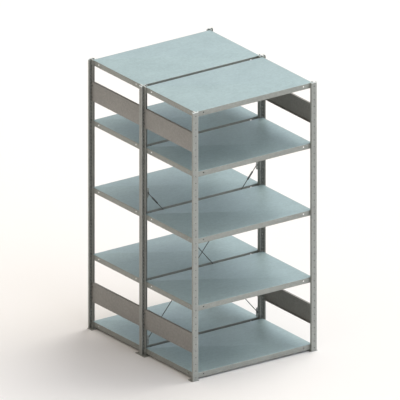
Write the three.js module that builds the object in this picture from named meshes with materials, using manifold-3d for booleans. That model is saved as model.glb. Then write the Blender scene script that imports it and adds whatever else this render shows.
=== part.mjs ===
// Double-sided steel shelving: two bays stand back to back on eight slotted T-uprights,
// with five lift-off shelf trays a side, end panels and a tensioned cross brace between the bays.
// Millimetres, +Z up, +X along the shelves, origin on the floor in the middle of the unit.
import * as THREE from 'three';
import { mergeVertices } from 'three/addons/utils/BufferGeometryUtils.js';
import Module from 'manifold-3d';

const wasm = await Module();
wasm.setup();

// Clearances
const SEAT_GAP = 0.3; // between a piece and what it rests on or is fixed to
const SHELF_SIDE_GAP = 2; // between a shelf's end and the web beside it
const SHELF_SETBACK = 18; // from an upright's outer face to the shelf edge behind it

// Shelf trays
const SHELF_LENGTH = 1000;
const SHELF_DEPTH = 600;
const SHELF_LIP = 40; // height of the folded edge
const SHELF_RETURN = 15; // inward fold under the lip
const SHELF_SHEET = 1.5;
const SHELF_SPACINGS = [500, 500, 500, 450]; // from each shelf to the next one up
const BOTTOM_SHELF_CLEAR = 12; // floor to the underside of the lowest shelf
const LIP_HOLE_DIAMETER = 10;
const LIP_HOLE_FROM_CORNER = 75;
const LIP_HOLE_BELOW_TOP = 17;

// Uprights: a T-section with lips folded in from the flange edges
const FLANGE_WIDTH = 46;
const FLANGE_LIP = 16;
const FLANGE_SHEET = 2;
const WEB_DEPTH = 33; // from the flange's outer face to the web's free edge
const WEB_SHEET = 3;
const UPRIGHT_ABOVE_SHELF = 6; // how far the uprights stand above the top shelf
const SLOT_PITCH = 50; // every second place of a 25 mm row
const SLOT_WIDTH = 10;
const SLOT_HEIGHT = 12;
const SLOT_FROM_FLANGE = 2; // metal left between the flange and the slots
const SLOT_TOP_MARGIN = 12; // metal left above the highest slot

// Shelf clips, one under each shelf corner, hooked into a slot of the web
const CLIP_LEDGE = 14; // how far the ledge reaches in under the shelf
const CLIP_SHEET = 2;
const CLIP_PLATE_SHEET = 1.4;
const CLIP_PLATE_RISE = 30; // plate height above the ledge
const CLIP_HOOK_RISE = 15; // ledge to the middle of the hook
const CLIP_HOOK_WIDTH = 6;
const CLIP_HOOK_HEIGHT = 8;
const CLIP_HOOK_PROUD = 2; // hook length outside the web
const CLIP_EDGE_MARGIN = 0.5; // between the ledge and the ends of its seat

// Foot plates
const FOOT_LENGTH = 62; // along the shelves
const FOOT_DEPTH = 56;
const FOOT_SHEET = 3;
const FOOT_LUG_RISE = 34; // lug height above the floor
const FOOT_LUG_DEPTH = 16;
const FOOT_LUG_FROM_FACE = 15; // upright's outer face to the lug
const ANCHOR_HOLE_DIAMETER = 9;
const ANCHOR_HOLE_FROM_INNER_EDGE = 13;
const ANCHOR_HOLE_FROM_BACK_EDGE = 15;

// End panels
const PANEL_HEIGHT = 145;
const PANEL_SHEET = 2;
const PANEL_FOLD = 14; // inward folds along the top and bottom edges
const PANEL_FROM_FACE = 13; // upright's outer face to the panel's end
const PANEL_FOLD_GAP = 3; // between a fold's end and the web beside it
const PANEL_BOTTOMS = { lower: 199, upper: 1697 };

// Cross brace
const BRACKET_HEIGHT = 68;
const BRACKET_SHEET = 3;
const BRACKET_TONGUE = 24; // tongue length from the bracket's base
const BRACKET_SIDE_MARGIN = 1; // base inset from the two lips that it lies on
const BRACKET_CENTRES = { lower: 100, upper: 1198 };
const EYE_FROM_TONGUE_END = 10;
const ROD_DIAMETER = 6;
const ROD_EYE_DIAMETER = 17;
const TURNBUCKLE_LENGTH = 68;
const TURNBUCKLE_WIDTH = 13; // across the corners of the hexagon
const TURNBUCKLE_FROM_EYE = 55;
const ROD_ENGAGEMENT = 22; // thread length inside the turnbuckle
const BORE_GAP = 0.6; // radial, from a rod or bolt to the corners of its hole
const BRACE_BOLT_DIAMETER = 6;
const BRACE_BOLT_HEAD_WIDTH = 11;
const BRACE_BOLT_HEAD = 4;

// Bolts that hold the middle uprights back to back
const FRAME_BOLT_DIAMETER = 8;
const FRAME_BOLT_HEAD_WIDTH = 14;
const FRAME_BOLT_HEAD = 5;
const FRAME_BOLT_HEIGHTS = { lower: 420, upper: 1420 };

// Facets
const ROUND_SIDES = 8;
const HOLE_SIDES = 6;
const HEX_SIDES = 6;

// Places that follow from the sizes above
const webInner = SHELF_LENGTH / 2 + SHELF_SIDE_GAP;
const uprightX = webInner + WEB_SHEET / 2;
const bayDepth = SHELF_DEPTH + 2 * SHELF_SETBACK;
const backFace = SEAT_GAP / 2; // the middle flanges' outer faces, either side of the mid plane
const outerFace = backFace + bayDepth;
const shelfBottoms = SHELF_SPACINGS.reduce(
  (heights, spacing) => [...heights, heights.at(-1) + spacing],
  [BOTTOM_SHELF_CLEAR],
);
const uprightBottom = FOOT_SHEET + SEAT_GAP;
const uprightTop = shelfBottoms.at(-1) + SHELF_LIP + UPRIGHT_ABOVE_SHELF;
const slotNear = FLANGE_SHEET + SLOT_FROM_FLANGE;
const lipInner = uprightX - FLANGE_WIDTH / 2;

// The four rows of uprights: where their outer faces are, and which way they face
const ROWS = {
  front: { face: -outerFace, turned: false },
  mid_front: { face: -backFace, turned: true },
  mid_rear: { face: backFace, turned: false },
  rear: { face: outerFace, turned: true },
};
const ENDS = { left: -1, right: 1 };
const BAYS = { front: -1, rear: 1 };

const zincGrey = { color: 0x9b9e9a, roughness: 0.5, metalness: 0.75 };
const FINISHES = {
  shelf: { color: 0xa9b8ba, roughness: 0.45, metalness: 0.8 },
  upright: zincGrey,
  foot: zincGrey,
  panel: { color: 0x8b8782, roughness: 0.55, metalness: 0.7 },
  bracket: zincGrey,
  rod: { color: 0xb4b6b3, roughness: 0.35, metalness: 0.9 },
  turnbuckle: { color: 0xa0a19d, roughness: 0.4, metalness: 0.9 },
  bolt: { color: 0x8d8f8c, roughness: 0.4, metalness: 0.9 },
};

const unit = new THREE.Group();
unit.name = 'double_sided_shelving';

// Boolean solids from closed three.js geometry, and back again

function solid(geometry) {
  const bare = geometry.index ? geometry.toNonIndexed() : geometry.clone();
  bare.deleteAttribute('normal');
  bare.deleteAttribute('uv');
  const merged = mergeVertices(bare);
  return new wasm.Manifold(new wasm.Mesh({
    numProp: 3,
    vertProperties: new Float32Array(merged.attributes.position.array),
    triVerts: new Uint32Array(merged.index.array),
  }));
}

function geometryOf(body) {
  const { vertProperties, triVerts, numProp } = body.getMesh();
  const interleaved = new THREE.InterleavedBuffer(vertProperties, numProp);
  const geometry = new THREE.BufferGeometry();
  geometry.setAttribute('position', new THREE.InterleavedBufferAttribute(interleaved, 3, 0));
  geometry.setIndex(new THREE.BufferAttribute(triVerts, 1));
  const flat = geometry.toNonIndexed();
  flat.computeVertexNormals();
  return flat;
}

// A box between two corners
function block(low, high) {
  const size = high.map((value, axis) => value - low[axis]);
  const middle = high.map((value, axis) => (value + low[axis]) / 2);
  return solid(new THREE.BoxGeometry(...size).translate(...middle));
}

// A faceted bar between two heights on the Z axis
function bar(diameter, sides, from, to) {
  const round = new THREE.CylinderGeometry(diameter / 2, diameter / 2, to - from, sides);
  return solid(round.rotateX(Math.PI / 2).translate(0, 0, (from + to) / 2));
}

// The same bar laid along Y or X through a point
function barAlongY(diameter, sides, from, to, x, z) {
  return bar(diameter, sides, from, to).rotate([-90, 0, 0]).translate([x, 0, z]);
}

function barAlongX(diameter, sides, from, to, y, z) {
  return bar(diameter, sides, from, to).rotate([0, 90, 0]).translate([0, y, z]);
}

function place(name, body, finish, position = [0, 0, 0], turn = [0, 0, 0]) {
  const mesh = new THREE.Mesh(geometryOf(body), new THREE.MeshStandardMaterial(FINISHES[finish]));
  mesh.name = name;
  mesh.position.set(...position);
  mesh.rotation.set(...turn);
  unit.add(mesh);
}

// Shelf tray: open below, lips folded down on four sides and returned inwards, with holes in the lips.
// Its own origin is under the middle of the tray.
function shelfTray() {
  const halfX = SHELF_LENGTH / 2;
  const halfY = SHELF_DEPTH / 2;
  const inX = halfX - SHELF_SHEET;
  const inY = halfY - SHELF_SHEET;
  const mouthX = halfX - SHELF_RETURN;
  const mouthY = halfY - SHELF_RETURN;
  const ceiling = SHELF_LIP - SHELF_SHEET;
  let tray = block([-halfX, -halfY, 0], [halfX, halfY, SHELF_LIP])
    .subtract(block([-inX, -inY, SHELF_SHEET], [inX, inY, ceiling]))
    .subtract(block([-mouthX, -mouthY, -SHELF_SHEET], [mouthX, mouthY, ceiling]));
  const holeZ = SHELF_LIP - LIP_HOLE_BELOW_TOP;
  for (const side of [-1, 1]) {
    const holeX = side * (halfX - LIP_HOLE_FROM_CORNER);
    const holeY = side * (halfY - LIP_HOLE_FROM_CORNER);
    tray = tray
      .subtract(barAlongY(LIP_HOLE_DIAMETER, HOLE_SIDES, -SHELF_DEPTH, SHELF_DEPTH, holeX, holeZ))
      .subtract(barAlongX(LIP_HOLE_DIAMETER, HOLE_SIDES, -SHELF_LENGTH, SHELF_LENGTH, holeY, holeZ));
  }
  return tray;
}

// Lipped T-section, with the flange's outer face on Y = 0 and the web running to +Y
function uprightSection() {
  const flange = FLANGE_WIDTH / 2;
  const lip = flange - FLANGE_SHEET;
  const web = WEB_SHEET / 2;
  const right = [
    [flange, 0],
    [flange, FLANGE_LIP],
    [lip, FLANGE_LIP],
    [lip, FLANGE_SHEET],
    [web, FLANGE_SHEET],
    [web, WEB_DEPTH],
  ];
  const left = right.map(([x, y]) => [-x, y]).reverse();
  return new THREE.Shape([...right, ...left].map(([x, y]) => new THREE.Vector2(x, y)));
}

// A clip is an L in section, with its plate against the web and its ledge under the shelf.
// One hook goes through a slot. The plate and the hook are rooted in the web.
function shelfClip(shelfBottom, inward) {
  const ledgeTop = shelfBottom - SEAT_GAP;
  const plateFace = WEB_SHEET / 2 + CLIP_PLATE_SHEET;
  const ledgeEnd = WEB_SHEET / 2 + SHELF_SIDE_GAP + CLIP_LEDGE;
  const outside = WEB_SHEET / 2 + CLIP_HOOK_PROUD;
  const ledgeNear = SHELF_SETBACK + CLIP_EDGE_MARGIN;
  const plateEnd = WEB_DEPTH - CLIP_EDGE_MARGIN;
  const hookY = slotNear + SLOT_WIDTH / 2;
  const hookZ = shelfBottom + CLIP_HOOK_RISE;
  const spanX = (a, b) => [Math.min(a * inward, b * inward), Math.max(a * inward, b * inward)];
  const [plateLow, plateHigh] = spanX(0, plateFace);
  const [ledgeLow, ledgeHigh] = spanX(0, ledgeEnd);
  const [hookLow, hookHigh] = spanX(-outside, WEB_SHEET / 2);
  const plate = block(
    [plateLow, slotNear, ledgeTop - CLIP_SHEET],
    [plateHigh, plateEnd, ledgeTop + CLIP_PLATE_RISE],
  );
  const ledge = block([ledgeLow, ledgeNear, ledgeTop - CLIP_SHEET], [ledgeHigh, plateEnd, ledgeTop]);
  const hook = block(
    [hookLow, hookY - CLIP_HOOK_WIDTH / 2, hookZ - CLIP_HOOK_HEIGHT / 2],
    [hookHigh, hookY + CLIP_HOOK_WIDTH / 2, hookZ + CLIP_HOOK_HEIGHT / 2],
  );
  return plate.add(ledge).add(hook);
}

// One upright with its slots and five clips; inward is the side of the web that the shelves are on
function upright(inward, boltHoles) {
  const height = uprightTop - uprightBottom;
  const profile = new THREE.ExtrudeGeometry(uprightSection(), { depth: height, bevelEnabled: false });
  let post = solid(profile.translate(0, 0, uprightBottom));
  const firstSlot = BOTTOM_SHELF_CLEAR + CLIP_HOOK_RISE;
  const lastSlot = uprightTop - SLOT_TOP_MARGIN - SLOT_HEIGHT / 2;
  const slots = [];
  for (let z = firstSlot; z <= lastSlot; z += SLOT_PITCH) {
    slots.push(block(
      [-WEB_SHEET, slotNear, z - SLOT_HEIGHT / 2],
      [WEB_SHEET, slotNear + SLOT_WIDTH, z + SLOT_HEIGHT / 2],
    ));
  }
  post = post.subtract(wasm.Manifold.union(slots));
  if (boltHoles) {
    const holeDiameter = FRAME_BOLT_DIAMETER + 2 * BORE_GAP;
    for (const z of Object.values(FRAME_BOLT_HEIGHTS)) {
      const hole = barAlongY(holeDiameter, ROUND_SIDES, -FLANGE_SHEET, 2 * FLANGE_SHEET, 0, z);
      post = post.subtract(hole.translate([inward * frameBoltOffset(), 0, 0]));
    }
  }
  return wasm.Manifold.union([post, ...shelfBottoms.map((z) => shelfClip(z, inward))]);
}

// From the web's middle to a frame bolt, half-way between the web and the flange's lip
function frameBoltOffset() {
  return (WEB_SHEET / 2 + FLANGE_WIDTH / 2 - FLANGE_SHEET) / 2;
}

// Foot plate with a lug beside the web's outer face and an anchor hole towards the shelves
function foot(inward) {
  const halfX = FOOT_LENGTH / 2;
  const lugNear = WEB_SHEET / 2 + SEAT_GAP;
  const lugX = [-inward * lugNear, -inward * (lugNear + FOOT_SHEET)].sort((a, b) => a - b);
  const lugEnd = FOOT_LUG_FROM_FACE + FOOT_LUG_DEPTH;
  const holeX = inward * (halfX - ANCHOR_HOLE_FROM_INNER_EDGE);
  const holeY = FOOT_DEPTH - ANCHOR_HOLE_FROM_BACK_EDGE;
  const hole = bar(ANCHOR_HOLE_DIAMETER, ROUND_SIDES, -FOOT_SHEET, 2 * FOOT_SHEET);
  return block([-halfX, 0, 0], [halfX, FOOT_DEPTH, FOOT_SHEET])
    .add(block([lugX[0], FOOT_LUG_FROM_FACE, 0], [lugX[1], lugEnd, FOOT_LUG_RISE]))
    .subtract(hole.translate([holeX, holeY, 0]));
}

// End panel: a plate across two webs, its top and bottom edges folded in between them.
// Its own origin is at the bottom, on the face that lies against the webs; folds run to +X.
function endPanel() {
  const halfPlate = bayDepth / 2 - PANEL_FROM_FACE;
  const halfFold = bayDepth / 2 - WEB_DEPTH - PANEL_FOLD_GAP;
  const plate = block([-PANEL_SHEET, -halfPlate, 0], [0, halfPlate, PANEL_HEIGHT]);
  const fold = block([-PANEL_SHEET, -halfFold, 0], [PANEL_FOLD, halfFold, PANEL_SHEET]);
  return plate.add(fold).add(fold.translate([0, 0, PANEL_HEIGHT - PANEL_SHEET]));
}

// Brace bracket: a base on the lips of the two middle uprights and a tongue for the rod eye.
// Its own origin is in the middle of the base's back; the tongue runs to +X.
function braceBracket() {
  const halfBase = backFace + FLANGE_LIP - BRACKET_SIDE_MARGIN;
  const halfZ = BRACKET_HEIGHT / 2;
  const halfSheet = BRACKET_SHEET / 2;
  const holeDiameter = BRACE_BOLT_DIAMETER + 2 * BORE_GAP;
  const hole = barAlongY(holeDiameter, ROUND_SIDES, -BRACKET_SHEET, BRACKET_SHEET, eyeFromBase, 0);
  return block([0, -halfBase, -halfZ], [BRACKET_SHEET, halfBase, halfZ])
    .add(block([0, -halfSheet, -halfZ], [BRACKET_TONGUE, halfSheet, halfZ]))
    .subtract(hole);
}

// Brace rod along +Z from its eye, whose hole is on Y
function braceRod(length) {
  const eye = barAlongY(ROD_EYE_DIAMETER, ROUND_SIDES, -ROD_DIAMETER / 2, ROD_DIAMETER / 2, 0, 0);
  const holeDiameter = BRACE_BOLT_DIAMETER + 2 * BORE_GAP;
  return eye
    .add(bar(ROD_DIAMETER, ROUND_SIDES, 0, length))
    .subtract(barAlongY(holeDiameter, ROUND_SIDES, -ROD_DIAMETER, ROD_DIAMETER, 0, 0));
}

// Hexagon sleeve of the turnbuckle, along Z about its middle
function turnbuckle() {
  const half = TURNBUCKLE_LENGTH / 2;
  const bore = bar(ROD_DIAMETER + 2 * BORE_GAP, ROUND_SIDES, -TURNBUCKLE_LENGTH, TURNBUCKLE_LENGTH);
  return bar(TURNBUCKLE_WIDTH, HEX_SIDES, -half, half).subtract(bore);
}

// Bolt with its nut, along Y; the grip between head and nut runs between the two given places
function bolt(diameter, headWidth, head, gripFrom, gripTo) {
  return barAlongY(diameter, ROUND_SIDES, gripFrom - head / 2, gripTo + head / 2, 0, 0)
    .add(barAlongY(headWidth, HEX_SIDES, gripFrom - head, gripFrom, 0, 0))
    .add(barAlongY(headWidth, HEX_SIDES, gripTo, gripTo + head, 0, 0));
}

// Shelves
const shelfY = backFace + SHELF_SETBACK + SHELF_DEPTH / 2;
for (const [bay, side] of Object.entries(BAYS)) {
  shelfBottoms.forEach((bottom, level) => {
    place(`shelf_${bay}_${level + 1}`, shelfTray(), 'shelf', [0, side * shelfY, bottom]);
  });
}

// Uprights and their feet
for (const [row, { face, turned }] of Object.entries(ROWS)) {
  for (const [end, side] of Object.entries(ENDS)) {
    const inward = turned ? side : -side;
    const turn = [0, 0, turned ? Math.PI : 0];
    const at = [side * uprightX, face, 0];
    place(`upright_${row}_${end}`, upright(inward, row.startsWith('mid')), 'upright', at, turn);
    place(`foot_${row}_${end}`, foot(inward), 'foot', at, turn);
  }
}

// End panels, outside the webs
const panelX = uprightX + WEB_SHEET / 2 + SEAT_GAP;
const bayMiddle = backFace + bayDepth / 2;
for (const [bay, baySide] of Object.entries(BAYS)) {
  for (const [end, side] of Object.entries(ENDS)) {
    for (const [height, bottom] of Object.entries(PANEL_BOTTOMS)) {
      const turn = [0, 0, side > 0 ? Math.PI : 0];
      const at = [side * panelX, baySide * bayMiddle, bottom];
      place(`panel_${bay}_${end}_${height}`, endPanel(), 'panel', at, turn);
    }
  }
}

// Cross brace: two ties, each from an upper bracket to the lower bracket at the other end.
// The tie that starts at the upper left runs in front of the brackets' tongues, the other behind.
const eyeFromBase = BRACKET_TONGUE - EYE_FROM_TONGUE_END;
const bracketX = lipInner - SEAT_GAP;
const eyeX = bracketX - eyeFromBase;
const rodY = BRACKET_SHEET / 2 + SEAT_GAP + ROD_DIAMETER / 2;
const tieRise = BRACKET_CENTRES.upper - BRACKET_CENTRES.lower;
const tieLength = Math.hypot(2 * eyeX, tieRise);
const shortRod = TURNBUCKLE_FROM_EYE + ROD_ENGAGEMENT;
const longRod = tieLength - TURNBUCKLE_FROM_EYE - TURNBUCKLE_LENGTH + ROD_ENGAGEMENT;
const sleeveFromEye = TURNBUCKLE_FROM_EYE + TURNBUCKLE_LENGTH / 2;

for (const [end, side] of Object.entries(ENDS)) {
  const lay = side * rodY;
  const lean = Math.atan2(2 * eyeX * side, tieRise); // turn about Y that lays +Z along the rising tie
  const topEye = [side * eyeX, lay, BRACKET_CENTRES.upper];
  const lowEye = [-side * eyeX, lay, BRACKET_CENTRES.lower];
  const along = sleeveFromEye / tieLength;
  const sleeve = topEye.map((value, axis) => value + (lowEye[axis] - value) * along);
  place(`brace_rod_short_${end}`, braceRod(shortRod), 'rod', topEye, [0, lean + Math.PI, 0]);
  place(`turnbuckle_${end}`, turnbuckle(), 'turnbuckle', sleeve, [0, lean, 0]);
  place(`brace_rod_long_${end}`, braceRod(longRod), 'rod', lowEye, [0, lean, 0]);
  for (const [height, centre] of Object.entries(BRACKET_CENTRES)) {
    const turn = [0, 0, side > 0 ? Math.PI : 0];
    place(`brace_bracket_${end}_${height}`, braceBracket(), 'bracket', [side * bracketX, 0, centre], turn);
    // The eye lies on one side of the tongue: in front at the left end's top and the right end's foot
    const eyeSide = height === 'upper' ? side : -side;
    const tongueFace = BRACKET_SHEET / 2 + SEAT_GAP;
    const eyeFace = rodY + ROD_DIAMETER / 2 + SEAT_GAP;
    const grip = eyeSide < 0 ? [-eyeFace, tongueFace] : [-tongueFace, eyeFace];
    const body = bolt(BRACE_BOLT_DIAMETER, BRACE_BOLT_HEAD_WIDTH, BRACE_BOLT_HEAD, ...grip);
    place(`brace_bolt_${end}_${height}`, body, 'bolt', [side * eyeX, 0, centre]);
  }
}

// Frame bolts through the two middle flanges
const flangeInner = backFace + FLANGE_SHEET + SEAT_GAP;
for (const [end, side] of Object.entries(ENDS)) {
  for (const [height, z] of Object.entries(FRAME_BOLT_HEIGHTS)) {
    const body = bolt(FRAME_BOLT_DIAMETER, FRAME_BOLT_HEAD_WIDTH, FRAME_BOLT_HEAD, -flangeInner, flangeInner);
    place(`frame_bolt_${end}_${height}`, body, 'bolt', [side * (uprightX - frameBoltOffset()), 0, z]);
  }
}

export default unit;
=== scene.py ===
import math
import bmesh
import bpy
from mathutils import Matrix, Vector


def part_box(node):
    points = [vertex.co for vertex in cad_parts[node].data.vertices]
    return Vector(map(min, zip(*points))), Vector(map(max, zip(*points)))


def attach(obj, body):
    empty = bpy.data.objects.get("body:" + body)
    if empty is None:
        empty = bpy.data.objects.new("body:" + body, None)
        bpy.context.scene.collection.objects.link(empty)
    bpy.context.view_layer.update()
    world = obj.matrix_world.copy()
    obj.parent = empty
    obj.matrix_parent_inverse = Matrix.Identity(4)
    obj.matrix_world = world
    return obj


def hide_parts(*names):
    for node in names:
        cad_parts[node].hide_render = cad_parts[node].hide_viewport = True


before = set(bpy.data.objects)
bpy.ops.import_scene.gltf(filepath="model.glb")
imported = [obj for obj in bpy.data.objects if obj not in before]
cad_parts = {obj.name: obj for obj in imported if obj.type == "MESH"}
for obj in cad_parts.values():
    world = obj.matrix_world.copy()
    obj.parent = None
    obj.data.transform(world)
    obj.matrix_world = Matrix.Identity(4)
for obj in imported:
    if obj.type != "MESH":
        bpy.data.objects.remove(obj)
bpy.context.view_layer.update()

mm = 0.001
near = 0.2 * mm          # how close a point counts as on a line or face
facing = 0.9             # share of a normal along an axis that counts as facing that way
rowNames = ["front", "mid_front", "mid_rear", "rear"]
turnedRows = ["mid_front", "rear"]      # these uprights face +Y, so their webs run to -Y
ends = {"left": -1, "right": 1}
bays = ["front", "rear"]
levels = [1, 2, 3, 4, 5]
heights = ["lower", "upper"]


# selecting and finishing, as by hand

def clearSelection():
    bpy.ops.object.select_all(action="DESELECT")


def named(name):
    piece = bpy.context.active_object
    piece.name = name
    piece.data.name = name
    return piece


def openEdit(piece):
    clearSelection()
    piece.select_set(True)
    bpy.context.view_layer.objects.active = piece
    bpy.ops.object.mode_set(mode="EDIT")
    bpy.ops.mesh.select_all(action="DESELECT")


def closeEdit():
    bpy.ops.object.mode_set(mode="OBJECT")


def pickFaces(piece, test):
    work = bmesh.from_edit_mesh(piece.data)
    bpy.ops.mesh.select_mode(type="FACE")
    bpy.ops.mesh.select_all(action="DESELECT")
    for face in work.faces:
        face.select_set(test(face.calc_center_median(), face.normal))
    bmesh.update_edit_mesh(piece.data)


def pickEdges(piece, test):
    work = bmesh.from_edit_mesh(piece.data)
    bpy.ops.mesh.select_mode(type="EDGE")
    bpy.ops.mesh.select_all(action="DESELECT")
    for edge in work.edges:
        edge.select_set(test(edge.verts[0].co, edge.verts[1].co, len(edge.link_faces)))
    bmesh.update_edit_mesh(piece.data)


def settle(piece):
    clearSelection()
    piece.select_set(True)
    bpy.context.view_layer.objects.active = piece
    bpy.ops.object.transform_apply(location=True, rotation=True, scale=True)


def applyModifier(piece, kind, **settings):
    modifier = piece.modifiers.new(kind.lower(), kind)
    for key, value in settings.items():
        setattr(modifier, key, value)
    bpy.context.view_layer.objects.active = piece
    bpy.ops.object.modifier_apply(modifier=modifier.name)


def addBlock(name, low, high):
    clearSelection()
    size = [h - l for l, h in zip(low, high)]
    middle = [(h + l) / 2 for l, h in zip(low, high)]
    bpy.ops.mesh.primitive_cube_add(size=1, location=middle, scale=size)
    piece = named(name)
    settle(piece)
    return piece


def addBar(name, across, start, end, sides=24):
    clearSelection()
    line = Vector(end) - Vector(start)
    turn = line.to_track_quat("Z", "Y").to_euler()
    middle = (Vector(start) + Vector(end)) / 2
    bpy.ops.mesh.primitive_cylinder_add(
        vertices=sides, radius=across / 2, depth=line.length, location=middle, rotation=turn
    )
    piece = named(name)
    settle(piece)
    return piece


def joinInto(piece, others):
    clearSelection()
    for other in others:
        other.select_set(True)
    piece.select_set(True)
    bpy.context.view_layer.objects.active = piece
    bpy.ops.object.join()
    return piece


def combine(piece, others, operation):
    # others are joined to one tool, used once on the piece and thrown away
    tool = joinInto(others[0], others[1:]) if len(others) > 1 else others[0]
    applyModifier(piece, "BOOLEAN", operation=operation, object=tool, solver="EXACT")
    bpy.data.objects.remove(tool, do_unlink=True)


def softenEdges(piece, width, segments=2, angle=40):
    applyModifier(
        piece, "BEVEL", width=width, segments=segments, limit_method="ANGLE",
        angle_limit=math.radians(angle), harden_normals=False,
    )


def smooth(piece, angle=35):
    clearSelection()
    piece.select_set(True)
    bpy.context.view_layer.objects.active = piece
    bpy.ops.object.shade_smooth_by_angle(angle=math.radians(angle))


def markFaces(piece, name, test):
    # a face attribute that the material reads
    marks = piece.data.attributes.new(name, "FLOAT", "FACE")
    for face, mark in zip(piece.data.polygons, marks.data):
        mark.value = 1 if test(face.center, face.normal) else 0


def copyOf(piece, name, place):
    # each copy has its own mesh, already in its place; a mirrored one gets its faces turned back out
    twin = piece.copy()
    twin.data = piece.data.copy()
    twin.name = name
    twin.data.name = name
    bpy.context.collection.objects.link(twin)
    twin.data.transform(place)
    if place.to_3x3().determinant() < 0:
        twin.data.flip_normals()
    return twin


def dress(piece, material, slot, body, *nodes):
    piece.data.materials.clear()
    piece.data.materials.append(material)
    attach(piece, body)
    if nodes:
        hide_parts(*nodes)


def forget(piece):
    bpy.data.objects.remove(piece, do_unlink=True)


def foldedSheet(name, corners, draw, sheet):
    # a point is drawn along the corners of the section, the line is drawn out to a sheet,
    # the folds are rounded to their own radius and the sheet gets its thickness
    clearSelection()
    bpy.ops.mesh.primitive_plane_add(size=mm)
    piece = named(name)
    bpy.ops.object.mode_set(mode="EDIT")
    bpy.ops.mesh.select_mode(type="VERT")
    bpy.ops.mesh.select_all(action="SELECT")
    bpy.ops.mesh.merge(type="CENTER")
    bpy.ops.transform.translate(value=corners[0][0])
    for (here, _), (there, _) in zip(corners, corners[1:]):
        bpy.ops.mesh.extrude_vertices_move(TRANSFORM_OT_translate={"value": there - here})
    bpy.ops.mesh.select_all(action="SELECT")
    bpy.ops.mesh.extrude_region_move(TRANSFORM_OT_translate={"value": draw})
    for corner, bend in corners[1:-1]:
        across = draw.normalized()
        flat = corner - across * corner.dot(across)
        pickEdges(piece, lambda a, b, n: n == 2 and all(
            (p - across * p.dot(across) - flat).length < 0.01 * mm for p in (a, b)))
        bpy.ops.mesh.bevel(offset=bend, offset_type="OFFSET", segments=4, affect="EDGES")
    closeEdit()
    applyModifier(piece, "SOLIDIFY", thickness=sheet, offset=0, use_even_offset=True)
    return piece


# materials

def hexColour(text):
    channels = [int(text[i:i + 2], 16) / 255 for i in (0, 2, 4)]
    linear = [c / 12.92 if c <= 0.04045 else ((c + 0.055) / 1.055) ** 2.4 for c in channels]
    return (*linear, 1)


def addNode(tree, kind, settings=None, links=None):
    node = tree.nodes.new(kind)
    for key, value in (settings or {}).items():
        if isinstance(key, int) or key in node.inputs:
            node.inputs[key].default_value = value
        else:
            setattr(node, key, value)
    for key, source in (links or {}).items():
        tree.links.new(source, node.inputs[key])
    return node


def toneRamp(tree, tone, dark, light):
    # the mixed tone seldom leaves the middle of its range, so that is what the two colours span
    ramp = addNode(tree, "ShaderNodeValToRGB", None, {"Fac": tone})
    for stop, place, text in zip(ramp.color_ramp.elements, (0.2, 0.8), (dark, light)):
        stop.position = place
        stop.color = hexColour(text)
    return ramp.outputs["Color"]


crystalStep = 0.1 * mm      # height of the bump between light and dark patches


def zincMaterial(name, look):
    material = bpy.data.materials.new(name)
    material.use_nodes = True
    tree = material.node_tree
    shader = tree.nodes["Principled BSDF"]
    place = addNode(tree, "ShaderNodeTexCoord").outputs["Object"]
    scale = {key: 1 / (look[key] * mm) for key in ("crystal", "cloud", "streak")}     # from millimetres
    # zinc crystals: flat patches, each a little lighter or darker than the next
    crystal = addNode(tree, "ShaderNodeTexVoronoi", {"Scale": scale["crystal"]}, {"Vector": place})
    shade = addNode(tree, "ShaderNodeSeparateColor", None, {"Color": crystal.outputs["Color"]})
    # broad clouding from the dip and the rollers' drawn-out streaks
    grain = {"Scale": scale["cloud"], "Detail": 3.0}
    cloud = addNode(tree, "ShaderNodeTexNoise", grain, {"Vector": place})
    stretch = addNode(tree, "ShaderNodeMapping", {"Scale": look["streakStretch"]}, {"Vector": place})
    grain = {"Scale": scale["streak"], "Detail": 2.0}
    streak = addNode(tree, "ShaderNodeTexNoise", grain, {"Vector": stretch.outputs["Vector"]})
    patches = addNode(
        tree, "ShaderNodeMix", {"data_type": "FLOAT", 0: look["streakShare"]},
        {2: shade.outputs["Red"], 3: streak.outputs["Fac"]},
    )
    tone = addNode(
        tree, "ShaderNodeMix", {"data_type": "FLOAT", 0: look["cloudShare"]},
        {2: patches.outputs[0], 3: cloud.outputs["Fac"]},
    )
    colour = toneRamp(tree, tone.outputs[0], look["dark"], look["light"])
    # marked faces get painted shade: the folded lips a darker, warmer grey than the top (painted shade and
    # painted reflection), the punched edges and the inner folds behind the lips near black
    for mark in ("paintedShade", "paintedFoldShade"):
        if f"{mark}Dark" not in look:
            continue
        share = addNode(tree, "ShaderNodeAttribute", {"attribute_name": mark}).outputs["Fac"]
        marked = toneRamp(tree, tone.outputs[0], look[f"{mark}Dark"], look[f"{mark}Light"])
        mixed = addNode(tree, "ShaderNodeMix", {"data_type": "RGBA"}, {0: share, 6: colour, 7: marked})
        colour = mixed.outputs[2]
    if "end" in look:       # painted light: pale above the top shelves, where the tops catch the light
        height = addNode(tree, "ShaderNodeSeparateXYZ", None, {"Vector": place}).outputs["Z"]
        limit = {"operation": "GREATER_THAN", 1: look["endAbove"]}
        paintedLightMask = addNode(tree, "ShaderNodeMath", limit, {0: height}).outputs[0]
        paint = {"data_type": "RGBA", 7: hexColour(look["end"])}
        colour = addNode(tree, "ShaderNodeMix", paint, {0: paintedLightMask, 6: colour}).outputs[2]
    tree.links.new(colour, shader.inputs["Base Color"])
    rough = addNode(
        tree, "ShaderNodeMapRange", {"To Min": look["roughLow"], "To Max": look["roughHigh"]},
        {"Value": tone.outputs[0]},
    )
    tree.links.new(rough.outputs["Result"], shader.inputs["Roughness"])
    bump = addNode(
        tree, "ShaderNodeBump", {"Strength": look["bump"], "Distance": crystalStep},
        {"Height": tone.outputs[0]},
    )
    tree.links.new(bump.outputs["Normal"], shader.inputs["Normal"])
    shader.inputs["Metallic"].default_value = look["metallic"]
    return material
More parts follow.
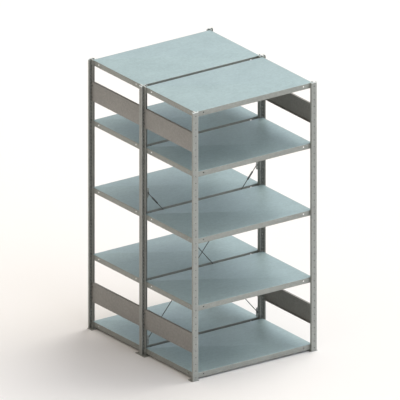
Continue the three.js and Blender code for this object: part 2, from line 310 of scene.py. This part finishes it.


# hot-dip galvanised sheet, rolled flat: pale blue-grey, satin, faint crystals and streaks along the shelf;
# its matt oxide skin hides most of the metal's mirror, so it is only part metallic;
# the lips carry painted shade and a painted warm reflection, the inner folds painted shade near black
galvanisedSheet = zincMaterial("galvanised_sheet", {
    "dark": "9AAFB2", "light": "AFC4C7", "paintedShadeDark": "898B86", "paintedShadeLight": "9DA09A",
    "paintedFoldShadeDark": "141413", "paintedFoldShadeLight": "1C1C1A",
    "metallic": 0.35, "roughLow": 0.42, "roughHigh": 0.58, "bump": 0.12,
    "crystal": 14, "cloud": 160, "cloudShare": 0.45, "streak": 18, "streakShare": 0.5,
    "streakStretch": (0.08, 1, 1),
})
# galvanised strip, roll-formed: a shade warmer and greyer, drawn-out streaks up the upright; painted shade
# near black in the slot edges and holes, painted light above the top shelves
galvanisedStrip = zincMaterial("galvanised_strip", {
    "dark": "8E908C", "light": "A3A6A1", "paintedShadeDark": "2C2B29", "paintedShadeLight": "3B3A37",
    "end": "E6ECEA", "endAbove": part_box("shelf_front_5")[1][2],      # above the top shelves
    "metallic": 0.35, "roughLow": 0.45, "roughHigh": 0.6, "bump": 0.15,
    "crystal": 7, "cloud": 90, "cloudShare": 0.35, "streak": 6, "streakShare": 0.5,
    "streakStretch": (1, 1, 0.06),
})
# galvanised panel sheet, duller and warmer than the shelves
galvanisedPanel = zincMaterial("galvanised_panel", {
    "dark": "83827E", "light": "979590", "metallic": 0.3, "roughLow": 0.48, "roughHigh": 0.62, "bump": 0.12,
    "crystal": 12, "cloud": 140, "cloudShare": 0.45, "streak": 14, "streakShare": 0.4,
    "streakStretch": (1, 0.08, 1),
})
# bright zinc plating on drawn bar and bolts: smoother and shinier, no crystals large enough to see
zincPlate = zincMaterial("zinc_plated_steel", {
    "dark": "5C5F5E", "light": "7A7D7B", "metallic": 0.85, "roughLow": 0.3, "roughHigh": 0.42, "bump": 0.06,
    "crystal": 1.5, "cloud": 12, "cloudShare": 0.4, "streak": 2, "streakShare": 0.5,
    "streakStretch": (1, 1, 1),
})
print("materials ready")


# uprights: one strip folded to a T, so the web is double and leaves a seam down the flange

uprightStyle = {
    "sheet": 1.49, "halfSeam": 0.755, "lipBend": 2.4, "webBend": 1.7, "hemBend": 0.6,
    "flange": 46, "lip": 16, "web": 33,
    "slotPitch": 25, "slotWide": 10.6, "slotHigh": 13.6, "slotMiddle": 9.4, "slotRound": 2.5,
    "holePitch": 50, "holeAcross": 7.5, "holeDepth": 1.1,
    "firstRow": 27, "topMargin": 18,        # heights of the lowest row and of the plain end at the top
}


def rowOf(tool, first, pitch, top):
    count = int((top - first) / pitch) + 1
    applyModifier(
        tool, "ARRAY", count=count, use_relative_offset=False, use_constant_offset=True,
        constant_offset_displace=(0, 0, pitch),
    )


def uprightPiece(name, low, high):
    look = uprightStyle
    half = look["sheet"] / 2
    edge = look["flange"] / 2 - half
    path = [
        (-edge, look["lip"], 0), (-edge, half, look["lipBend"]), (-look["halfSeam"], half, look["webBend"]),
        (-look["halfSeam"], look["web"] - half, look["hemBend"]),
        (look["halfSeam"], look["web"] - half, look["hemBend"]),
        (look["halfSeam"], half, look["webBend"]), (edge, half, look["lipBend"]), (edge, look["lip"], 0),
    ]
    corners = [(Vector((x * mm, y * mm, low)), bend * mm) for x, y, bend in path]
    post = foldedSheet(name, corners, Vector((0, 0, high - low)), look["sheet"] * mm)
    top = high - look["topMargin"] * mm
    # slots through the double web, their corners rounded
    wide, tall, middle = look["slotWide"] * mm / 2, look["slotHigh"] * mm / 2, look["slotMiddle"] * mm
    first = look["firstRow"] * mm
    through = look["sheet"] * 3 * mm
    slot = addBlock(
        "slotTool", (-through, middle - wide, first - tall), (through, middle + wide, first + tall)
    )
    openEdit(slot)
    pickEdges(slot, lambda a, b, n: abs(a.x - b.x) > mm)
    bpy.ops.mesh.bevel(offset=look["slotRound"] * mm, segments=3, affect="EDGES")
    closeEdit()
    rowOf(slot, first, look["slotPitch"] * mm, top)
    # round holes down the seam of the flange
    reach, deep = look["holeAcross"] * mm / 2, look["holeDepth"] * mm
    hole = addBar("holeTool", 2 * reach, (0, -mm, first), (0, deep, first), 16)
    rowOf(hole, first, look["holePitch"] * mm, top)
    combine(post, [slot], "DIFFERENCE")
    combine(post, [hole], "DIFFERENCE")
    smooth(post)

    def punched(centre, normal):
        # painted shade: the punched edges of the slots and the insides of the holes are painted near black,
        # for the shade inside them
        if not low + mm < centre.z < high - mm:
            return False
        inWeb = abs(centre.x) < look["sheet"] * mm + near and abs(normal.x) < facing
        inSlot = abs(centre.y - middle) < wide + near
        row = (centre.z - first) / (look["holePitch"] * mm)
        aside = math.hypot(centre.x, (row - round(row)) * look["holePitch"] * mm)
        inHole = aside < reach + near and near < centre.y < deep + near
        return (inWeb and inSlot) or inHole

    markFaces(post, "paintedShade", punched)
    return post


def uprightPlace(row, end):
    low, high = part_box(f"upright_{row}_{end}")
    middle = (low[0] + high[0]) / 2
    if row in turnedRows:
        return Matrix.Translation((middle, high[1], 0)) @ Matrix.Rotation(math.pi, 4, "Z")
    return Matrix.Translation((middle, low[1], 0))


uprightLow, uprightHigh = (corner[2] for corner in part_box("upright_front_left"))
post = uprightPiece("upright", uprightLow, uprightHigh)
for row in rowNames:
    for end in ends:
        node = f"upright_{row}_{end}"
        twin = copyOf(post, f"{node}_strip", uprightPlace(row, end))
        dress(twin, galvanisedStrip, "galvanised_upright", "frame", node)
forget(post)
print("uprights ready")


# shelf clips: a plate on the web, a ledge turned in under the shelf, one hook through a slot

clipStyle = {
    "sheet": 1.9, "plate": 1.4, "web": 1.56, "nearFlange": 4.5, "edge": 32.4, "rise": 29.5, "gap": 0.35,
    "ledgeFrom": 18.6, "ledgeReach": 17.3, "hookRise": 15, "hookWide": 6, "hookHigh": 8, "hookProud": 2,
    "soft": 0.4,
}


def clipPiece():
    look = {key: value * mm for key, value in clipStyle.items()}
    web, edge = look["web"], look["edge"]
    foot = -look["gap"] - look["sheet"]
    plate = addBlock("clip", (web, look["nearFlange"], foot), (web + look["plate"], edge, look["rise"]))
    ledge = addBlock("ledge", (web, look["ledgeFrom"], foot), (look["ledgeReach"], edge, -look["gap"]))
    middle, rise = uprightStyle["slotMiddle"] * mm, look["hookRise"]
    wide, tall = look["hookWide"] / 2, look["hookHigh"] / 2
    hook = addBlock(
        "hook", (-web - look["hookProud"], middle - wide, rise - tall),
        (web + look["plate"] / 2, middle + wide, rise + tall),
    )
    openEdit(hook)      # the hook's nose turns down behind the web
    pickFaces(hook, lambda centre, normal: normal.x < -facing)
    bpy.ops.transform.translate(value=(0, 0, -look["hookProud"]))
    closeEdit()
    combine(plate, [ledge, hook], "UNION")
    softenEdges(plate, look["soft"])
    smooth(plate)
    return plate


clip = clipPiece()
for row in rowNames:
    for end, side in ends.items():
        for level in levels:
            bay = "front" if row in ("front", "mid_front") else "rear"
            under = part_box(f"shelf_{bay}_{level}")[0][2]
            inward = side if row in turnedRows else -side
            flip = Matrix.Scale(inward, 4, (1, 0, 0))
            place = Matrix.Translation((0, 0, under)) @ uprightPlace(row, end) @ flip
            twin = copyOf(clip, f"clip_{row}_{end}_{level}", place)
            dress(twin, galvanisedStrip, "galvanised_upright", "frame")
forget(clip)
print("clips ready")


# shelf trays: lips folded down and returned, holes near the corners of every lip

shelfStyle = {
    "sheet": 1.2, "bend": 2.6, "corner": 2.0, "fold": 15, "hem": 24,
    "holeAcross": 10, "holeFromCorner": 75, "holeBelowTop": 17,
}
paintedShadeRise = 0.8        # faces whose normals rise less than this take the painted shade of the lips; the top and its upper bends keep the light colour


def onRim(point, low, high, corner):
    # along the outer edge of the tray, its rounded corners included
    return (min(point.x - low.x, high.x - point.x) < corner + near
            or min(point.y - low.y, high.y - point.y) < corner + near)


def shelfPiece(low, high):
    look = {key: value * mm for key, value in shelfStyle.items()}
    low, high = Vector(low), Vector(high)
    middle = (low + high) / 2
    tray = addBlock("shelf", low, high)
    openEdit(tray)
    pickFaces(tray, lambda centre, normal: normal.z < -facing)
    bpy.ops.mesh.delete(type="ONLY_FACE")
    pickEdges(tray, lambda a, b, n: abs(a.z - b.z) > mm)
    bpy.ops.mesh.bevel(offset=look["corner"], segments=3, affect="EDGES")
    pickEdges(tray, lambda a, b, n: max(a.z, b.z) < low.z + near)
    half = (high - low) / 2
    shrink = (1 - look["fold"] / half.x, 1 - look["fold"] / half.y, 1)
    bpy.ops.mesh.extrude_region_move(TRANSFORM_OT_translate={"value": (0, 0, 0)})
    bpy.ops.transform.resize(value=shrink, center_override=(middle.x, middle.y, low.z))
    # the long lips are folded a third time, up inside the tray
    pickEdges(tray, lambda a, b, n: n == 1 and abs(a.x - b.x) > half.x)
    bpy.ops.mesh.extrude_region_move(TRANSFORM_OT_translate={"value": (0, 0, look["hem"])})
    pickEdges(tray, lambda a, b, n: n == 2 and max(a.z, b.z) < low.z + near
              and onRim(a, low, high, look["corner"]) and onRim(b, low, high, look["corner"]))
    bpy.ops.mesh.bevel(offset=look["bend"], segments=4, affect="EDGES")
    pickEdges(tray, lambda a, b, n: min(a.z, b.z) > high.z - near)
    bpy.ops.mesh.bevel(offset=look["bend"], segments=4, affect="EDGES")
    closeEdit()
    applyModifier(tray, "SOLIDIFY", thickness=look["sheet"], offset=-1, use_even_offset=True)
    tools = []
    across, z = look["holeAcross"], high.z - look["holeBelowTop"]
    for side in (-1, 1):
        x = middle.x + side * (half.x - look["holeFromCorner"])
        y = middle.y + side * (half.y - look["holeFromCorner"])
        tools.append(addBar("holeTool", across, (x, low.y - mm, z), (x, high.y + mm, z)))
        tools.append(addBar("holeTool", across, (low.x - mm, y, z), (high.x + mm, y, z)))
    combine(tray, tools, "DIFFERENCE")
    # the third fold ends in line with the holes
    cuts = []
    bottom, top, thick = low.z + look["bend"], high.z - 2 * look["bend"], 2 * look["sheet"]
    for x in (low.x + look["fold"], high.x - look["holeFromCorner"]):
        for y in (low.y + look["fold"], high.y - look["fold"]):
            far = x + look["holeFromCorner"] - look["fold"]
            cuts.append(addBlock("hemTool", (x - near, y - thick, bottom), (far + near, y + thick, top)))
    combine(tray, cuts, "DIFFERENCE")
    smooth(tray)
    # painted shade and painted reflection: every face below the top, and the bends where they turn down,
    # takes the darker, warmer lip colour
    markFaces(tray, "paintedShade", lambda centre, normal: normal.z < paintedShadeRise or centre.z < high.z - mm)
    # painted shade: the side of the third fold that faces its lip, seen through the holes, is painted near
    # black
    aside = half.y - look["fold"]
    markFaces(tray, "paintedFoldShade", lambda centre, normal: normal.y * (centre.y - middle.y) > facing * aside
              and abs(abs(centre.y - middle.y) - aside) < thick and bottom < centre.z < top)
    return tray


firstLow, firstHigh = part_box("shelf_front_1")
tray = shelfPiece(firstLow, firstHigh)
for bay in bays:
    for level in levels:
        node = f"shelf_{bay}_{level}"
        shift = Vector(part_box(node)[0]) - Vector(firstLow)
        twin = copyOf(tray, f"{node}_tray", Matrix.Translation(shift))
        dress(twin, galvanisedSheet, "galvanised_shelf", node, node)
forget(tray)
print("shelves ready")


# end panels: a plate with its long edges folded in between the webs, held by screws at both ends

panelStyle = {
    "sheet": 1.5, "bend": 2.0, "notch": 24, "screwFromEnd": 12, "screwFromEdge": 30,
}


screwStyle = {"across": 9, "high": 2.4, "dome": 1.44, "socket": 3.4, "socketFloor": 0.96}


def panelPiece(low, high):
    # the left end's panel: its plate is on -X and its folds run to +X
    look = {key: value * mm for key, value in panelStyle.items()}
    half = look["sheet"] / 2
    path = [
        (high[0], low[2] + half, 0), (low[0] + half, low[2] + half, look["bend"]),
        (low[0] + half, high[2] - half, look["bend"]), (high[0], high[2] - half, 0),
    ]
    corners = [(Vector((x, low[1], z)), bend) for x, z, bend in path]
    panel = foldedSheet("panel", corners, Vector((0, high[1] - low[1], 0)), look["sheet"])
    # the folds stop short of the webs, the plate runs past them
    inner = low[0] + look["sheet"] + near
    notches = []
    for z in (low[2], high[2]):
        below, above = z - 3 * look["sheet"], z + 3 * look["sheet"]
        for start, end in ((low[1] - mm, low[1] + look["notch"]), (high[1] - look["notch"], high[1] + mm)):
            notches.append(addBlock("notchTool", (inner, start, below), (high[0] + mm, end, above)))
    combine(panel, notches, "DIFFERENCE")
    smooth(panel)
    return panel


def screwPiece():
    # a low domed head on -X, with a hexagon socket
    look = {key: value * mm for key, value in screwStyle.items()}
    head = addBar("screw", look["across"], (0, 0, 0), (-look["high"], 0, 0), 20)
    openEdit(head)
    pickFaces(head, lambda centre, normal: normal.x < -facing)
    bpy.ops.mesh.bevel(offset=look["dome"], segments=4, affect="EDGES")
    closeEdit()
    base, clear = -look["socketFloor"], -2 * look["high"]
    socket = addBar("socketTool", look["socket"], (base, 0, 0), (clear, 0, 0), 6)
    combine(head, [socket], "DIFFERENCE")
    smooth(head)
    return head


panelLow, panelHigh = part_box("panel_front_left_lower")
panelMiddle = Vector((0, (panelLow[1] + panelHigh[1]) / 2, panelLow[2]))
panel = panelPiece(panelLow, panelHigh)
screw = screwPiece()
for bay in bays:
    for end, side in ends.items():
        for height in heights:
            node = f"panel_{bay}_{end}_{height}"
            low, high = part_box(node)
            middle = (low[1] + high[1]) / 2
            turn = Matrix.Rotation(math.pi, 4, "Z") if side > 0 else Matrix.Identity(4)
            place = Matrix.Translation((0, middle, low[2])) @ turn @ Matrix.Translation(-panelMiddle)
            dress(copyOf(panel, f"{node}_sheet", place), galvanisedPanel, "galvanised_panel", "frame", node)
            face = low[0] if side < 0 else high[0]
            fromEnd, fromEdge = panelStyle["screwFromEnd"] * mm, panelStyle["screwFromEdge"] * mm
            for y, where in ((low[1] + fromEnd, "a"), (high[1] - fromEnd, "b")):
                for z, which in ((low[2] + fromEdge, "low"), (high[2] - fromEdge, "high")):
                    place = Matrix.Translation((face, y, z)) @ turn
                    twin = copyOf(screw, f"screw_{node}_{where}_{which}", place)
                    dress(twin, zincPlate, "zinc_plated", "frame")
forget(panel)
print("panels ready")


# feet: a plate with rounded corners, an anchor hole and a lug beside the web

footStyle = {
    "plate": 3, "corner": 4, "soft": 0.5, "lugHigh": 34, "lugFrom": 15, "lugDeep": 16, "lugRound": 5,
    "lugGap": 1.8, "hole": 9, "holeFromInner": 13, "holeFromBack": 15,
}


def footPiece(long, deep):
    # outer face of the upright on Y = 0, shelves on +X
    look = {key: value * mm for key, value in footStyle.items()}
    plate = addBlock("foot", (-long / 2, 0, 0), (long / 2, deep, look["plate"]))
    openEdit(plate)
    pickEdges(plate, lambda a, b, n: abs(a.z - b.z) > mm)
    bpy.ops.mesh.bevel(offset=look["corner"], segments=5, affect="EDGES")
    closeEdit()
    lugBack = look["lugFrom"] + look["lugDeep"]
    lug = addBlock(
        "lug", (-look["lugGap"] - look["plate"], look["lugFrom"], look["soft"]),
        (-look["lugGap"], lugBack, look["lugHigh"]),
    )
    openEdit(lug)
    pickEdges(lug, lambda a, b, n: abs(a.x - b.x) > mm and min(a.z, b.z) > look["lugHigh"] - mm)
    bpy.ops.mesh.bevel(offset=look["lugRound"], segments=5, affect="EDGES")
    closeEdit()
    combine(plate, [lug], "UNION")
    at = (long / 2 - look["holeFromInner"], deep - look["holeFromBack"])
    hole = addBar("holeTool", look["hole"], (*at, -look["plate"]), (*at, 2 * look["plate"]))
    combine(plate, [hole], "DIFFERENCE")
    softenEdges(plate, look["soft"])
    smooth(plate)
    return plate


footLow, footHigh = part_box("foot_front_left")
foot = footPiece(footHigh[0] - footLow[0], footHigh[1] - footLow[1])
for row in rowNames:
    for end, side in ends.items():
        node = f"foot_{row}_{end}"
        inward = side if row in turnedRows else -side
        place = uprightPlace(row, end) @ Matrix.Scale(inward, 4, (1, 0, 0))
        dress(copyOf(foot, f"{node}_plate", place), galvanisedStrip, "galvanised_upright", "frame", node)
forget(foot)
print("feet ready")


# cross brace: brackets, eye rods with cut threads, hexagon turnbuckles and their bolts

bracketStyle = {"sheet": 3, "soft": 0.5, "tongueRound": 8, "hole": 7.2, "screwAside": 9, "screwFromEdge": 9}
rodStyle = {
    "across": 6, "plainAcross": 5.88, "eyeMid": 11.4,
    "threadDeep": 0.45, "threadPitch": 1, "threadLong": 34,
}
sleeveStyle = {
    "across": 12.8, "long": 68, "endRound": 1.6, "bore": 7, "keyHole": 5, "soft": 0.3,
    "fromEye": 55, "engage": 22,        # gap from the upper eye, and how far each rod is screwed in
}
braceBolt = {"head": 10.8, "across": 5.9, "soft": 0.9}
frameBolt = {"head": 13.6, "across": 7.9, "soft": 0.9}
headShare = 0.24        # of a bolt's length, for its head and again for its nut


def bracketPiece(low, high, eye):
    # the left end's bracket: base on -X, tongue to +X
    look = {key: value * mm for key, value in bracketStyle.items()}
    middle = (low[1] + high[1]) / 2
    half = look["sheet"] / 2
    base = addBlock("bracket", low, (low[0] + look["sheet"], high[1], high[2]))
    tongue = addBlock("tongue", (low[0], middle - half, low[2]), (high[0], middle + half, high[2]))
    openEdit(tongue)
    pickEdges(tongue, lambda a, b, n: abs(a.y - b.y) > mm and min(a.x, b.x) > high[0] - mm)
    bpy.ops.mesh.bevel(offset=look["tongueRound"], segments=5, affect="EDGES")
    closeEdit()
    combine(base, [tongue], "UNION")
    start, end = middle - look["sheet"], middle + look["sheet"]
    hole = addBar("holeTool", look["hole"], (eye.x, start, eye.z), (eye.x, end, eye.z))
    combine(base, [hole], "DIFFERENCE")
    softenEdges(base, look["soft"])
    smooth(base)
    return base


def threadPiece(name, start, long):
    # one turn of the thread is a ring with its middle swelled out, repeated along the rod
    look = {key: value * mm for key, value in rodStyle.items()}
    pitch = look["threadPitch"]
    root = look["across"] - 2 * look["threadDeep"]
    swell = look["across"] / root
    ring = addBar(name, root, (0, 0, start), (0, 0, start + pitch / 2), 16)
    openEdit(ring)
    pickFaces(ring, lambda centre, normal: normal.z > facing)
    bpy.ops.transform.resize(value=(swell, swell, 1), center_override=(0, 0, start))
    bpy.ops.mesh.extrude_region_move(TRANSFORM_OT_translate={"value": (0, 0, pitch / 2)})
    bpy.ops.transform.resize(value=(1 / swell, 1 / swell, 1), center_override=(0, 0, start))
    pickFaces(ring, lambda centre, normal: abs(normal.z) > facing)
    bpy.ops.mesh.delete(type="FACE")
    closeEdit()
    applyModifier(
        ring, "ARRAY", count=int(long / pitch), use_relative_offset=False, use_constant_offset=True,
        constant_offset_displace=(0, 0, pitch), use_merge_vertices=True, merge_threshold=0.01 * mm,
    )
    openEdit(ring)
    pickEdges(ring, lambda a, b, n: n == 1)
    bpy.ops.mesh.edge_face_add()
    closeEdit()
    return ring


def rodPiece(name, long):
    # eye about the origin with its hole on Y, rod to +Z, the last stretch threaded
    look = {key: value * mm for key, value in rodStyle.items()}
    clearSelection()
    bpy.ops.mesh.primitive_torus_add(
        major_radius=look["eyeMid"] / 2, minor_radius=look["plainAcross"] / 2,
        major_segments=32, minor_segments=16, rotation=(math.pi / 2, 0, 0),
    )
    rod = named(name)
    settle(rod)
    plain = long - look["threadLong"]
    shank = addBar("shank", look["plainAcross"], (0, 0, look["eyeMid"] / 2), (0, 0, plain + near), 16)
    thread = threadPiece("thread", plain, look["threadLong"])
    joinInto(rod, [shank, thread])
    smooth(rod)
    return rod


def sleevePiece(name):
    look = {key: value * mm for key, value in sleeveStyle.items()}
    half = look["long"] / 2
    sleeve = addBar(name, look["across"], (0, 0, -half), (0, 0, half), 6)
    openEdit(sleeve)
    pickFaces(sleeve, lambda centre, normal: abs(normal.z) > facing)
    bpy.ops.mesh.bevel(offset=look["endRound"], segments=2, affect="EDGES")
    closeEdit()
    combine(sleeve, [addBar("boreTool", look["bore"], (0, 0, -2 * half), (0, 0, 2 * half))], "DIFFERENCE")
    combine(sleeve, [addBar("keyTool", look["keyHole"], (0, -half, 0), (0, half, 0))], "DIFFERENCE")
    softenEdges(sleeve, look["soft"])
    smooth(sleeve)
    return sleeve


def boltPiece(low, high, style):
    # hexagon head, shank and nut along Y
    look = {key: value * mm for key, value in style.items()}
    x, z = (low[0] + high[0]) / 2, (low[2] + high[2]) / 2
    thick = (high[1] - low[1]) * headShare
    start, end = low[1] + thick / 2, high[1] - thick / 2
    pieces = [addBar("shank", look["across"], (x, start, z), (x, end, z), 16)]
    for outer, inner in ((low[1], low[1] + thick), (high[1], high[1] - thick)):
        nut = addBar("nut", look["head"], (x, inner, z), (x, outer, z), 6)
        openEdit(nut)
        pickFaces(nut, lambda centre, normal: abs(centre.y - outer) < near)
        bpy.ops.mesh.bevel(offset=look["soft"], segments=2, affect="EDGES")
        closeEdit()
        pieces.append(nut)
    bolt = joinInto(pieces[0], pieces[1:])
    smooth(bolt)
    return bolt


def boxMiddle(node):
    low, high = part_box(node)
    return (Vector(low) + Vector(high)) / 2


def placeBolts(kind, style):
    first = f"{kind}_left_upper"
    bolt = boltPiece(*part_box(first), style)
    for end in ends:
        for height in heights:
            node = f"{kind}_{end}_{height}"
            shift = boxMiddle(node) - boxMiddle(first)
            twin = copyOf(bolt, f"{node}_hex", Matrix.Translation(shift))
            dress(twin, zincPlate, "zinc_plated", "frame", node)
    forget(bolt)


def tieEyes(end):
    # the tie runs from its upper eye at this end to the lower one at the other end
    other = "right" if end == "left" else "left"
    topEye, lowEye = boxMiddle(f"brace_bolt_{end}_upper"), boxMiddle(f"brace_bolt_{other}_lower")
    topEye.y = lowEye.y = boxMiddle(f"brace_rod_long_{end}").y
    return topEye, lowEye


bracketLow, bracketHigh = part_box("brace_bracket_left_upper")
bracket = bracketPiece(bracketLow, bracketHigh, boxMiddle("brace_bolt_left_upper"))
bracketMiddle = boxMiddle("brace_bracket_left_upper")
for end, side in ends.items():
    for height in heights:
        node = f"brace_bracket_{end}_{height}"
        turn = Matrix.Rotation(math.pi, 4, "Z") if side > 0 else Matrix.Identity(4)
        place = Matrix.Translation(boxMiddle(node)) @ turn @ Matrix.Translation(-bracketMiddle)
        dress(copyOf(bracket, f"{node}_plate", place), galvanisedStrip, "zinc_plated", "frame", node)
        low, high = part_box(node)
        sheet = bracketStyle["sheet"] * mm
        face = low[0] + sheet if side < 0 else high[0] - sheet
        back = turn @ Matrix.Rotation(math.pi, 4, "Z")      # heads on the shelf side
        aside, fromEdge = bracketStyle["screwAside"] * mm, bracketStyle["screwFromEdge"] * mm
        for y, z, which in ((-aside, low[2] + fromEdge, "low"), (aside, high[2] - fromEdge, "high")):
            place = Matrix.Translation((face, y, z)) @ back
            dress(copyOf(screw, f"screw_{node}_{which}", place), zincPlate, "zinc_plated", "frame")
forget(bracket)
forget(screw)
placeBolts("brace_bolt", braceBolt)
placeBolts("frame_bolt", frameBolt)

# both ties are alike, so each of their pieces is modelled once
fromEye, engage, sleeveLong = (sleeveStyle[key] * mm for key in ("fromEye", "engage", "long"))
topEye, lowEye = tieEyes("left")
shortRod = rodPiece("shortRod", fromEye + engage)
longRod = rodPiece("longRod", (topEye - lowEye).length - fromEye - sleeveLong + engage)
sleeve = sleevePiece("sleeve")
for end in ends:
    topEye, lowEye = tieEyes(end)
    tie = topEye - lowEye
    lean = Matrix.Rotation(math.atan2(tie.x, tie.z), 4, "Y")
    down = lean @ Matrix.Rotation(math.pi, 4, "Y")
    for kind, rod, at, turn in (("short", shortRod, topEye, down), ("long", longRod, lowEye, lean)):
        node = f"brace_rod_{kind}_{end}"
        twin = copyOf(rod, f"{node}_bar", Matrix.Translation(at) @ turn)
        dress(twin, zincPlate, "zinc_plated", "frame", node)
    sleeveAt = topEye - tie.normalized() * (fromEye + sleeveLong / 2)
    node = f"turnbuckle_{end}"
    twin = copyOf(sleeve, f"{node}_hex", Matrix.Translation(sleeveAt) @ lean)
    dress(twin, zincPlate, "zinc_plated", node, node)
for piece in (shortRod, longRod, sleeve):
    forget(piece)
print("brace ready")


# floor, light and camera

stageStyle = {
    "floor": "F2F1F1", "floorWide": 200, "floorRough": 0.9,
    "zenith": "FFF4E8", "zenithStrength": 0.66, "zenithFrom": 0.7,      # from this rise upward
    "horizon": "FFF4EA", "horizonStrength": 0.33,
    "key": "FFFCF5", "keyStrength": 1.75, "keyAzimuth": 98, "keyHeight": 55, "keySoft": 45,
    "fill": "DAECFF", "fillStrength": 1.64, "fillAzimuth": 28, "fillHeight": 20, "fillSoft": 80,
    "rim": "CCE1FB", "rimStrength": 0.38, "rimAzimuth": 138, "rimHeight": 20, "rimSoft": 50,
}
cameraStyle = {
    "azimuth": -35.12, "elevation": 21.19, "away": 12, "frameWide": 2.783,
    "aimHeight": 1.0396, "aimSide": -0.017,
}

clearSelection()
bpy.ops.mesh.primitive_plane_add(size=stageStyle["floorWide"])
floor = named("floor")
# matt white floor paint: no gloss, only the soft shadow
floorPaint = bpy.data.materials.new("matt_floor_paint")
floorPaint.use_nodes = True
floorShader = floorPaint.node_tree.nodes["Principled BSDF"]
floorShader.inputs["Base Color"].default_value = hexColour(stageStyle["floor"])
floorShader.inputs["Roughness"].default_value = stageStyle["floorRough"]
floor.data.materials.append(floorPaint)

# the studio is brighter overhead than at the horizon
world = bpy.data.worlds.new("studio")
world.use_nodes = True
sky = world.node_tree
upward = addNode(sky, "ShaderNodeTexCoord").outputs["Generated"]
rise = addNode(sky, "ShaderNodeSeparateXYZ", None, {"Vector": upward}).outputs["Z"]
span = {"From Max": stageStyle["zenithFrom"]}
rise = addNode(sky, "ShaderNodeMapRange", span, {"Value": rise}).outputs["Result"]
hues = {6: hexColour(stageStyle["horizon"]), 7: hexColour(stageStyle["zenith"])}
tint = addNode(sky, "ShaderNodeMix", {"data_type": "RGBA", **hues}, {0: rise})
span = {"To Min": stageStyle["horizonStrength"], "To Max": stageStyle["zenithStrength"]}
glow = addNode(sky, "ShaderNodeMapRange", span, {"Value": rise})
# past the edge of the floor the camera sees plain white
seen = addNode(sky, "ShaderNodeLightPath").outputs["Is Camera Ray"]
white = {"data_type": "RGBA", 7: hexColour("FFFFFF")}
shown = addNode(sky, "ShaderNodeMix", white, {0: seen, 6: tint.outputs[2]})
strength = addNode(sky, "ShaderNodeMix", {3: 1.0}, {0: seen, 2: glow.outputs["Result"]})
backdrop = sky.nodes["Background"]
sky.links.new(shown.outputs[2], backdrop.inputs["Color"])
sky.links.new(strength.outputs[0], backdrop.inputs["Strength"])
bpy.context.scene.world = world


def spot(azimuth, elevation):
    a, e = math.radians(azimuth), math.radians(elevation)
    return Vector((math.sin(a) * math.cos(e), -math.cos(a) * math.cos(e), math.sin(e)))


for name in ("key", "fill", "rim"):
    clearSelection()
    bpy.ops.object.light_add(type="SUN")
    lamp = bpy.context.active_object
    lamp.name = f"{name}_light"
    lamp.data.energy = stageStyle[f"{name}Strength"]
    lamp.data.color = hexColour(stageStyle[name])[:3]
    lamp.data.angle = math.radians(stageStyle[f"{name}Soft"])
    shine = spot(stageStyle[f"{name}Azimuth"], stageStyle[f"{name}Height"])
    lamp.rotation_euler = shine.to_track_quat("Z", "Y").to_euler()

toCamera = spot(cameraStyle["azimuth"], cameraStyle["elevation"])
sideways = Vector((-toCamera.y, toCamera.x, 0)).normalized()
aim = Vector((0, 0, cameraStyle["aimHeight"])) + sideways * cameraStyle["aimSide"]
clearSelection()
bpy.ops.object.camera_add(location=aim + toCamera * cameraStyle["away"])
camera = bpy.context.active_object
camera.rotation_euler = toCamera.to_track_quat("Z", "Y").to_euler()
camera.data.type = "ORTHO"       # the photo is a parallel view
camera.data.ortho_scale = cameraStyle["frameWide"]
bpy.context.scene.camera = camera
bpy.context.scene.view_settings.view_transform = "Standard"
print("stage ready")
